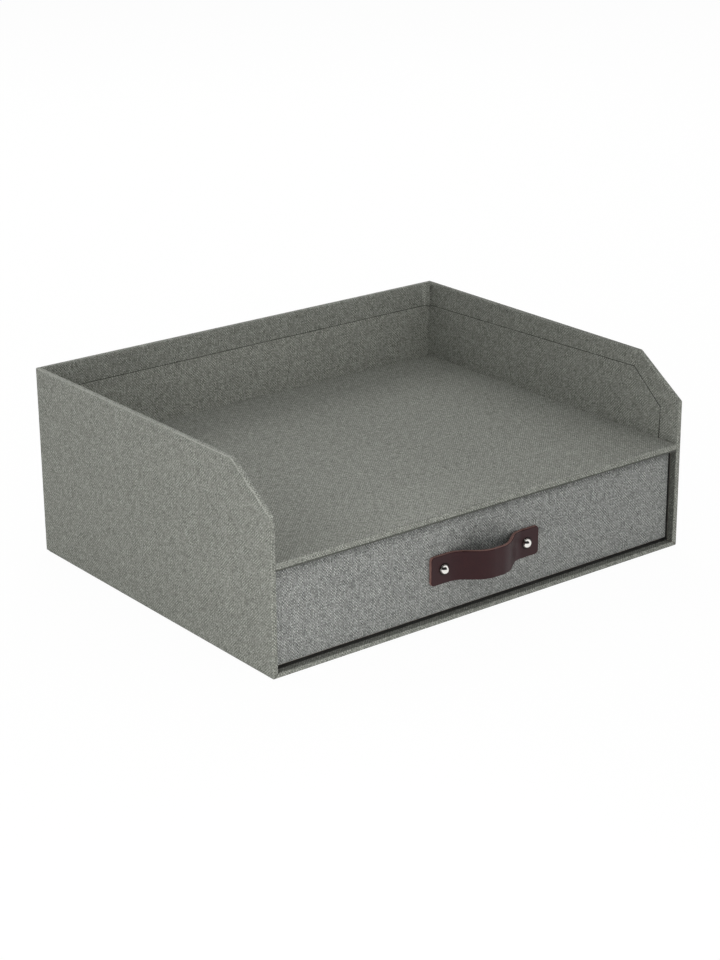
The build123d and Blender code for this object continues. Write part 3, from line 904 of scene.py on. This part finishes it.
def paint_light_patch(shape, look, middle, reach, light_paint):
    """Paints light or shade on a round patch of a flat side, most in its middle. A grid of cuts lets it
    fade smoothly.
    """
    for axis in range(3):
        along = Vector([reach[other] if other == axis else 0.0 for other in range(3)])
        if along.length:
            for step in range(1 - patch_steps, patch_steps):
                cut(shape, middle + along * step / patch_steps, along.normalized(), facing(shape, look))
    paint_layer = shape.verts.layers.float["painted_light_and_shade"]
    for vert in {vert for face in facing(shape, look) for vert in face.verts}:
        away = vert.co - middle
        share = Vector([away[axis] / reach[axis] if reach[axis] else 0.0 for axis in range(3)]).length
        vert[paint_layer] += light_paint * max(0.0, 1 - share)


shelf_round = 1.4 * MM
shelf_shade = 1.8 * MM
shelf_skew = 0.6
# Painted highlight on the shelf's edges, painted shade under its roll, painted light on the tray's front
shelf_edge_highlight, shelf_roll_shade, tray_front_light = 0.4, -5.0, 0.9
any_forward = 0.1
tray_light_middle = Vector((-45 * MM, case_front, shelf_high.z))
tray_light_reach = Vector((95 * MM, 190 * MM, 0))

shelf_cloth = block((-turn_face, shelf_low.y, shelf_low.z), (turn_face, shelf_high.y, shelf_high.z))
open_sides(shelf_cloth, (1, 0, 0), (-1, 0, 0), (0, 1, 0))
trim(shelf_cloth, (0, 0, -1), (0, case_front + turn_in, 0), (0, 1, 0))
round_folds(shelf_cloth, shelf_round, light_paint=shelf_edge_highlight)
cut(shelf_cloth, (0, 0, shelf_low.z + shelf_shade), (0, 0, 1), facing(shelf_cloth, (0, -1, 0)))
# The lower half of the roll is painted dark as shade
roll = facing(shelf_cloth, (0, -1, 0), any_forward)
under_roll = [face for face in roll if face.calc_center_median().z < shelf_low.z + shelf_round]
mark_light_paint(shelf_cloth, under_roll, shelf_roll_shade)
# The front of the tray is painted paler, as lit
paint_light_patch(shelf_cloth, (0, 0, 1), tray_light_middle, tray_light_reach, tray_front_light)
lay_threads(shelf_cloth, shelf_skew)
make_piece(shelf_cloth, "tray_floor_canvas", "case", ["shelf_cover"], [case_canvas], cloth_t)

# %% [markdown]
# The base is wrapped the other way up: below, over the front lip and turned in on top, where the lip's
# top is painted dark as the shade under the drawer. It is a block whose upper edges are drawn in, so its
# ends are the other half of the mitres at the foot of the side walls. The bay's floor and ceiling are
# sheets of charcoal cloth, painted shade, between the flaps and the back.
# %% Base and bay linings
roughly = 0.5
base_skew, bay_skew = -0.5, 0.3
base_cloth = block((-half_width, case_front, foot), (half_width, base_high.y, base_high.z))
for vert in base_cloth.verts:
    reach = turn_face if vert.co.z > (foot + base_high.z) / 2 else half_width
    vert.co.x = (reach - mitre_gap) * (1 if vert.co.x > 0 else -1)
base_cloth.normal_update()
open_sides(base_cloth, (1, 0, 0), (-1, 0, 0), (0, 1, 0), likeness=roughly)
trim(base_cloth, (0, 0, 1), (0, flap_end, 0), (0, 1, 0))
round_folds(base_cloth, edge_round)
# The lip's top is painted darker, as the shade under the drawer
mark_light_paint(base_cloth, facing(base_cloth, (0, 0, 1)), bay_shade / 2)
lay_threads(base_cloth, base_skew)
make_piece(base_cloth, "base_canvas", "case", ["case_base_cover"], [case_canvas], cloth_t)

# The bay's floor and ceiling get the charcoal cloth, painted shade
for part in ("floor", "ceiling"):
    sheet_low, sheet_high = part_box(f"bay_{part}_lining")
    if part == "floor":
        sheet_low.y = flap_end + seam_gap / 2
    bay_sheet = block(sheet_low, sheet_high)
    round_folds(bay_sheet, cloth_t / 4, card_steps)
    lay_threads(bay_sheet, bay_skew)
    make_piece(bay_sheet, f"bay_{part}_cloth", "case", [f"bay_{part}_lining"], [bay_shade_canvas])

# %% [markdown]
# ## Drawer
# The drawer's front is wrapped like a parcel: cloth over the face, round all four edges and turned in
# behind, with mitred corners pressed flat. An inset of the block's rear face makes the four flaps at
# once. A patch above the pull is painted dark as the pull's shadow, and a band along the upper edge is
# painted dark as the shade under the shelf.
# %% Drawer front
front_round = 0.5 * MM
front_skew = 0.8
# Painted shadow of the pull, and painted shade under the shelf along the upper edge
pull_shadow, top_band_shade = -1.8, -1.8
top_band_width = 6 * MM
front_low, front_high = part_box("drawer_front_cover")
pull_shadow_middle = Vector((-9 * MM, front_low.y, 44 * MM))
pull_shadow_reach = Vector((32 * MM, 0, 15 * MM))

drawer_front = block(front_low, front_high)
front_panel = facing(drawer_front, (0, 1, 0))[0]
bmesh.ops.inset_region(drawer_front, faces=[front_panel], thickness=turn_in, use_even_offset=True)
remove(drawer_front, [front_panel])
round_folds(drawer_front, front_round)
press_folds(drawer_front, (0, 1, 0))
# Cuts for the band below the upper edge, painted dark as the shade under the shelf
for depth in (top_band_width, top_band_width / 2):
    cut(drawer_front, (0, 0, front_high.z - depth), (0, 0, 1), facing(drawer_front, (0, -1, 0)))
paint_light_patch(drawer_front, (0, -1, 0), pull_shadow_middle, pull_shadow_reach, pull_shadow)
paint_layer = drawer_front.verts.layers.float["painted_light_and_shade"]
for vert in drawer_front.verts:
    if vert.co.y < front_low.y + front_round:
        vert[paint_layer] += top_band_shade * max(0.0, 1 - (front_high.z - vert.co.z) / top_band_width)
lay_threads(drawer_front, front_skew)
covered = ["drawer_front_cover"]
make_piece(drawer_front, "drawer_front_canvas", "drawer", covered, [drawer_canvas], cloth_t)

# %% [markdown]
# The drawer's side and back walls are covered over their top edges only. Their cloth ends just above the
# bay's floor, so that it doesn't rub when the drawer slides. All three are made by one function, which is
# told the way inwards and which ends stay open.
# %% Drawer walls
running_gap = 0.1 * MM
drawer_back_skew = 0.3


def drawer_wall(node, inward, open_ends):
    """The cloth over one drawer wall: open below and at some ends, and turned in at the top."""
    low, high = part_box(node)
    low.z += running_gap
    shape = block(low, high)
    open_sides(shape, (0, 0, -1), *open_ends)
    trim(shape, inward, (0, 0, high.z - turn_in), (0, 0, -1))
    round_folds(shape, edge_round)
    return shape


for side, name, skew in sides:
    covered = f"drawer_{name}_cover"
    wall = drawer_wall(covered, (-side, 0, 0), [(0, -1, 0)])
    lay_threads(wall, skew)
    make_piece(
        wall, f"drawer_{name}_canvas", "drawer", [covered], [drawer_canvas], cloth_t
    )
drawer_back = drawer_wall("drawer_back_cover", (0, -1, 0), [(1, 0, 0), (-1, 0, 0)])
lay_threads(drawer_back, drawer_back_skew)
covered = ["drawer_back_cover"]
make_piece(drawer_back, "drawer_back_canvas", "drawer", covered, [drawer_canvas], cloth_t)

# %% [markdown]
# Inside the drawer are a lining panel behind the front and one folded lining for the floor and the other
# three walls, with softly bent corners. The folded one is a block without its top and front, so its bends
# are bevels, and its thickness is added towards the inside.
# %% Drawer linings
inner_bend = 1.4 * MM
front_lining_skew, tray_lining_skew = -0.4, 0.5
front_lining = block(*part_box("drawer_front_lining"))
round_folds(front_lining, card_round, card_steps)
lay_threads(front_lining, front_lining_skew)
covered = ["drawer_front_lining"]
make_piece(front_lining, "drawer_front_panel", "drawer", covered, [lining_canvas])

tray_lining = block(*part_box("drawer_lining"))
open_sides(tray_lining, (0, 0, 1), (0, -1, 0))
round_folds(tray_lining, inner_bend)
lay_threads(tray_lining, tray_lining_skew)
covered = ["drawer_lining"]
make_piece(tray_lining, "drawer_inner_lining", "drawer", covered, [lining_canvas], lining_t)

# %% [markdown]
# ## Leather strap
# The pull is a strip of dark brown leather, dyed and waxed. To the eye its grain side has a soft satin
# shine, with slow changes in the dye under a fine net of creases. A Voronoi texture about half a
# millimetre across draws that net, because its cells have uneven sides as skin has.
# %% Waxed leather
dye_patch, grain_size = 9 * MM, 0.6 * MM
grain_wander_reach, grain_wander = 1.5 * MM, 0.5 * MM
crease_width = 0.16
dye_stops = ((0.25, "#2D1317"), (0.75, "#391A1D"))
crease_colour = "#2B1215"
least_gloss, most_gloss = 0.52, 0.38

leather, tree, shader = new_material("waxed brown leather", roughness=0.45, specular=0.25)
spot = add_node(tree, "TexCoord").outputs["Object"]
dye = add_node(tree, "TexNoise", {"Vector": spot, "Scale": 1 / dye_patch, "Detail": 4.0}).outputs["Fac"]
dye_colour = add_node(tree, "ValToRGB", {"Fac": dye}, stops=dye_stops).outputs["Color"]
grain_warp = add_node(tree, "TexNoise", {"Vector": spot, "Scale": 1 / grain_wander_reach, "Detail": 2.0})
grain_spot = add_node(
    tree, "VectorMath", {0: grain_warp.outputs["Color"], 1: (grain_wander,) * 3, 2: spot},
    operation="MULTIPLY_ADD",
).outputs[0]
creases = add_node(
    tree, "TexVoronoi", {"Vector": grain_spot, "Scale": 1 / grain_size}, feature="DISTANCE_TO_EDGE"
).outputs["Distance"]
grain = add_node(
    tree, "MapRange", {"Value": creases, "From Max": crease_width}, interpolation_type="SMOOTHSTEP"
).outputs[0]
grain_colour = add_node(
    tree, "Mix", {0: grain, 6: linear(crease_colour), 7: dye_colour}, data_type="RGBA"
).outputs[2]
tree.links.new(grain_colour, shader.inputs["Base Color"])
gloss = add_node(tree, "MapRange", {"Value": dye, "To Min": most_gloss, "To Max": least_gloss}).outputs[0]
tree.links.new(gloss, shader.inputs["Roughness"])
grain_bump = add_node(tree, "Bump", {"Height": grain, "Strength": 0.2, "Distance": 0.05 * MM})
tree.links.new(grain_bump.outputs[0], shader.inputs["Normal"])
print("grain side:", leather.name)

# %% [markdown]
# A saddler rubs the cut edges smooth. To the eye they are paler than the grain side, because the dye
# doesn't go right through, and streaked, because the cut shows the layers of the hide. Noise that is
# drawn out along the strap gives those layers.
# %% Burnished edge
edge_stops = ((0.3, "#6F504B"), (0.7, "#96736C"))
edge_layers = (3 * MM, 0.6 * MM, 3 * MM)

cut_leather, tree, shader = new_material("burnished leather edge", roughness=0.55, specular=0.35)
spot = add_node(tree, "TexCoord").outputs["Object"]
edge_scales = [1 / size for size in edge_layers]
layers = add_node(tree, "Mapping", {"Vector": spot, "Scale": edge_scales}).outputs[0]
fibres = add_node(tree, "TexNoise", {"Vector": layers, "Scale": 1.0, "Detail": 4.0}).outputs["Fac"]
edge_colour = add_node(tree, "ValToRGB", {"Fac": fibres}, stops=edge_stops).outputs["Color"]
tree.links.new(edge_colour, shader.inputs["Base Color"])
edge_gloss = add_node(tree, "MapRange", {"Value": fibres, "To Min": 0.45, "To Max": 0.65}).outputs[0]
tree.links.new(edge_gloss, shader.inputs["Roughness"])
edge_bump = add_node(tree, "Bump", {"Height": fibres, "Strength": 0.4, "Distance": 0.1 * MM})
tree.links.new(edge_bump.outputs[0], shader.inputs["Normal"])
print("cut edges:", cut_leather.name)

# %% [markdown]
# The strap's box comes from its CAD node, and its bends from the picture: it lies flat under each stud,
# slopes away from the drawer and runs flat again at the crown. From the slope and the bend's radius
# follow the lengths of all the straight stretches, so the finished strap fits its box.
# %% Strap measures
strap_low, strap_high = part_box("pull_strap")
drawer_face = front_low.y
strap_t = 2.5 * MM
strap_rise = strap_high.y - strap_low.y - strap_t
slope = radians(38)
bend_radius = 16 * MM
head_radius = 4.0 * MM
stud_clearance = 0.1 * MM
stud_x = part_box("stud_heads")[1].x - head_radius
bend_reach = bend_radius * tan(slope / 2)
knee_x = stud_x - head_radius - stud_clearance - bend_reach
crown_x = knee_x - strap_rise / tan(slope)
flat_run = strap_high.x - knee_x - bend_reach
slope_run = strap_rise / sin(slope) - 2 * bend_reach
crown_run = 2 * (crown_x - bend_reach)
flat_length = 2 * (flat_run + slope_run) + crown_run + 4 * slope * bend_radius
print("strap laid flat, about, in mm:", round(flat_length / MM, 1))

# %% [markdown]
# A saddler lays a strap out stretch by stretch, and so does this: a straight stretch is an extrusion of
# the strap's end, and a bend is a spin of it. A curve with a profile could be used too, but its ends and
# rims would still have to be made by hand.
# %% Strap steps
bend_steps = 8


def draw_on(shape, end, heading, length):
    """Extrudes the strap's end straight on and returns the new end."""
    grown = bmesh.ops.extrude_face_region(shape, geom=[end])["geom"]
    moved = [part for part in grown if isinstance(part, bmesh.types.BMVert)]
    bmesh.ops.translate(shape, verts=moved, vec=heading * length)
    return next(part for part in grown if isinstance(part, bmesh.types.BMFace))


def bend_on(shape, end, heading, turn):
    """Spins the strap's end round an upright axis, to the left for a plus, and returns the new end."""
    left = Vector((-heading.y, heading.x, 0))
    back = max((vert.co for vert in end.verts), key=lambda spot: spot.dot(left))
    aside = left if turn > 0 else -left
    spun = bmesh.ops.spin(
        shape, geom=[end, *end.edges, *end.verts], cent=back + aside * bend_radius, axis=(0, 0, 1),
        angle=turn, steps=bend_steps, dvec=(0, 0, 0),
    )["geom_last"]
    return next(part for part in spun if isinstance(part, bmesh.types.BMFace))


# %% [markdown]
# The strap starts as its cross-section at the left tip and is drawn along its route to the right tip. Its
# four corners are then rounded, and last the rims of both broad faces. Faces that look up, down or
# sideways get the burnished edge, and the broad ones the waxed grain.
# %% Leather strap
corner_steps, rim_steps = 6, 3
strap_corner = 2.5 * MM
strap_rim = 0.6 * MM
straight = 0.999

strap = bmesh.new()
tip_corners = (
    (strap_low.x, drawer_face, strap_low.z),
    (strap_low.x, drawer_face - strap_t, strap_low.z),
    (strap_low.x, drawer_face - strap_t, strap_high.z),
    (strap_low.x, drawer_face, strap_high.z),
)
end = strap.faces.new([strap.verts.new(corner) for corner in tip_corners])
heading = Vector((1, 0, 0))
route = (
    (flat_run, -slope), (slope_run, slope), (crown_run, slope), (slope_run, -slope), (flat_run, 0),
)
for length, turn in route:
    end = draw_on(strap, end, heading, length)
    if turn:
        end = bend_on(strap, end, heading, turn)
        heading = Matrix.Rotation(turn, 3, "Z") @ heading
bmesh.ops.recalc_face_normals(strap, faces=strap.faces)
tip_edges = []
for edge in strap.edges:
    first, second = (vert.co for vert in edge.verts)
    if abs((first - second).normalized().y) > straight and abs(abs(first.x) - strap_high.x) < strap_rim:
        tip_edges.append(edge)
bmesh.ops.bevel(
    strap, geom=tip_edges, offset=strap_corner, segments=corner_steps, profile=0.5, affect="EDGES",
    material=-1, clamp_overlap=True,
)
broad = {face for face in strap.faces if abs(face.normal.y) > roughly}
rims = [edge for edge in strap.edges if len(broad.intersection(edge.link_faces)) == 1]
bmesh.ops.bevel(
    strap, geom=rims, offset=strap_rim, segments=rim_steps, profile=0.5, affect="EDGES", material=-1,
    clamp_overlap=True,
)
strap.normal_update()
for face in strap.faces:
    face.material_index = int(abs(face.normal.y) < roughly)
make_piece(strap, "leather_strap", "drawer", ["pull_strap"], [leather, cut_leather])

# %% [markdown]
# ## Studs
# Each stud has a polished, nickel-plated dome in a low rim, which is painted dark as the shadow where the
# stud meets the leather. To the eye polished plate is a mirror with a faint cloudiness, and the dark rim is
# matt and brown. Both are metal, so their colour is that of the reflection, and noise makes the cloudy
# film uneven.
# %% Nickel and the rim's painted shadow
cloud_size, shadow_rim_mottle = 2 * MM, 0.8 * MM
nickel_stops = ((0.2, "#E3E0DA"), (0.8, "#F5F3EF"))
shadow_rim_stops = ((0.3, "#1E1A19"), (0.7, "#38322F"))

nickel, tree, shader = new_material("polished nickel plate", roughness=0.1, specular=0.5)
shader.inputs["Metallic"].default_value = 1.0
spot = add_node(tree, "TexCoord").outputs["Object"]
cloud = add_node(tree, "TexNoise", {"Vector": spot, "Scale": 1 / cloud_size, "Detail": 3.0}).outputs["Fac"]
nickel_colour = add_node(tree, "ValToRGB", {"Fac": cloud}, stops=nickel_stops).outputs["Color"]
tree.links.new(nickel_colour, shader.inputs["Base Color"])
polish = add_node(tree, "MapRange", {"Value": cloud, "To Min": 0.06, "To Max": 0.16}).outputs[0]
tree.links.new(polish, shader.inputs["Roughness"])

shadow_rim, tree, shader = new_material("dark rim, painted shadow", roughness=0.5, specular=0.5)
shader.inputs["Metallic"].default_value = 1.0
spot = add_node(tree, "TexCoord").outputs["Object"]
rim_mottle = add_node(tree, "TexNoise", {"Vector": spot, "Scale": 1 / shadow_rim_mottle, "Detail": 3.0}).outputs["Fac"]
shadow_rim_colour = add_node(tree, "ValToRGB", {"Fac": rim_mottle}, stops=shadow_rim_stops).outputs["Color"]
tree.links.new(shadow_rim_colour, shader.inputs["Base Color"])
print("stud finishes:", nickel.name, "and", shadow_rim.name)

# %% [markdown]
# A dome is a round thing, so it is turned as on a lathe: one point is spun into the dome's arc, more
# points draw the groove, the rim and the underside, and the whole line is spun round the axis. A squashed
# sphere would be quicker, but it has no rim, and its edge would meet the leather at a wrong angle.
# %% Studs
dome_height = 3.0 * MM
rim_height, rim_width = 0.3 * MM, 0.65 * MM
groove_width, rim_round = 0.12 * MM, 0.1 * MM
dome_edge = head_radius - rim_width
dome_steps, turn_steps = 12, 40
weld = 0.01 * MM
cap_rise = dome_height - rim_height
dome_radius = (dome_edge**2 + cap_rise**2) / (2 * cap_rise)
dome_angle = atan2(dome_edge, dome_radius - cap_rise)
seat_y = drawer_face - strap_t
stud_z = (strap_low.z + strap_high.z) / 2
rim_line = (
    (dome_edge + groove_width, rim_height / 2),
    (head_radius - rim_round, rim_height),
    (head_radius, rim_height / 2),
    (head_radius, 0.0),
    (0.0, 0.0),
)
for side, name, skew in sides:
    stud = bmesh.new()
    axis_point = Vector((side * stud_x, 0, stud_z))
    summit = stud.verts.new(axis_point + Vector((0, seat_y - dome_height, 0)))
    centre = axis_point + Vector((0, seat_y - dome_height + dome_radius, 0))
    bmesh.ops.spin(
        stud, geom=[summit], cent=centre, axis=(0, 0, 1), angle=dome_angle, steps=dome_steps, dvec=(0, 0, 0)
    )
    last = max(stud.verts, key=lambda vert: vert.co.y)
    for reach, height in rim_line:
        corner = stud.verts.new((axis_point.x + reach, seat_y - height, stud_z))
        stud.edges.new((last, corner))
        last = corner
    bmesh.ops.spin(
        stud, geom=[*stud.verts, *stud.edges], cent=axis_point, axis=(0, 1, 0), angle=2 * pi,
        steps=turn_steps, dvec=(0, 0, 0), use_merge=True,
    )
    bmesh.ops.remove_doubles(stud, verts=stud.verts, dist=weld)
    bmesh.ops.recalc_face_normals(stud, faces=stud.faces)
    for face in stud.faces:
        # The rim gets the dark metal, painted shadow
        face.material_index = int(face.calc_center_median().y > seat_y - rim_height)
    make_piece(stud, f"{name}_stud", "drawer", ["stud_heads"], [nickel, shadow_rim])

# %% [markdown]
# ## Hidden stock
# Boards, washers, screws and the sheet under the base keep their CAD shapes. They still get real
# finishes, because an open drawer or a view from below shows some of them. Recycled greyboard is pressed
# from pulp, and to the eye it is a dull, mottled grey-brown. Zinc plate on steel is satin with a fine
# spangle, which a Voronoi texture gives as small patches of different tone.
# %% Greyboard and steel
pulp_size, spangle_size = 1.2 * MM, 0.7 * MM
pulp_stops = ((0.3, "#857D72"), (0.7, "#A69D90"))
steel_stops = ((0.0, "#B4B6B6"), (1.0, "#CDCFCE"))

greyboard, tree, shader = new_material("pressed greyboard", roughness=0.92, specular=0.2)
spot = add_node(tree, "TexCoord").outputs["Object"]
pulp = add_node(tree, "TexNoise", {"Vector": spot, "Scale": 1 / pulp_size, "Detail": 6.0}).outputs["Fac"]
pulp_colour = add_node(tree, "ValToRGB", {"Fac": pulp}, stops=pulp_stops).outputs["Color"]
tree.links.new(pulp_colour, shader.inputs["Base Color"])
pulp_bump = add_node(tree, "Bump", {"Height": pulp, "Strength": 0.3, "Distance": 0.1 * MM})
tree.links.new(pulp_bump.outputs[0], shader.inputs["Normal"])

steel, tree, shader = new_material("zinc-plated steel", roughness=0.32, specular=0.5)
shader.inputs["Metallic"].default_value = 1.0
spot = add_node(tree, "TexCoord").outputs["Object"]
spangle = add_node(tree, "TexVoronoi", {"Vector": spot, "Scale": 1 / spangle_size}).outputs["Color"]
tone = add_node(tree, "SeparateColor", {0: spangle}).outputs[0]
steel_colour = add_node(tree, "ValToRGB", {"Fac": tone}, stops=steel_stops).outputs["Color"]
tree.links.new(steel_colour, shader.inputs["Base Color"])
steel_gloss = add_node(tree, "MapRange", {"Value": tone, "To Min": 0.24, "To Max": 0.4}).outputs[0]
tree.links.new(steel_gloss, shader.inputs["Roughness"])
print("finishes of the kept pieces:", greyboard.name, "and", steel.name)

# %% [markdown]
# The finishes go into the material slots of the CAD nodes, and nothing else about those nodes is changed.
# The dark paper from above goes on the sheet under the base.
# %% Finishes of the kept pieces
kept_finishes = {"stud_washers": steel, "stud_screws": steel, "case_base_sheet": backing}
for name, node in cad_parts.items():
    finish = greyboard if name.endswith("_board") else kept_finishes.get(name)
    if finish:
        node.material_slots[0].material = finish
print("kept CAD pieces:", sorted(name for name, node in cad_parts.items() if not node.hide_render))
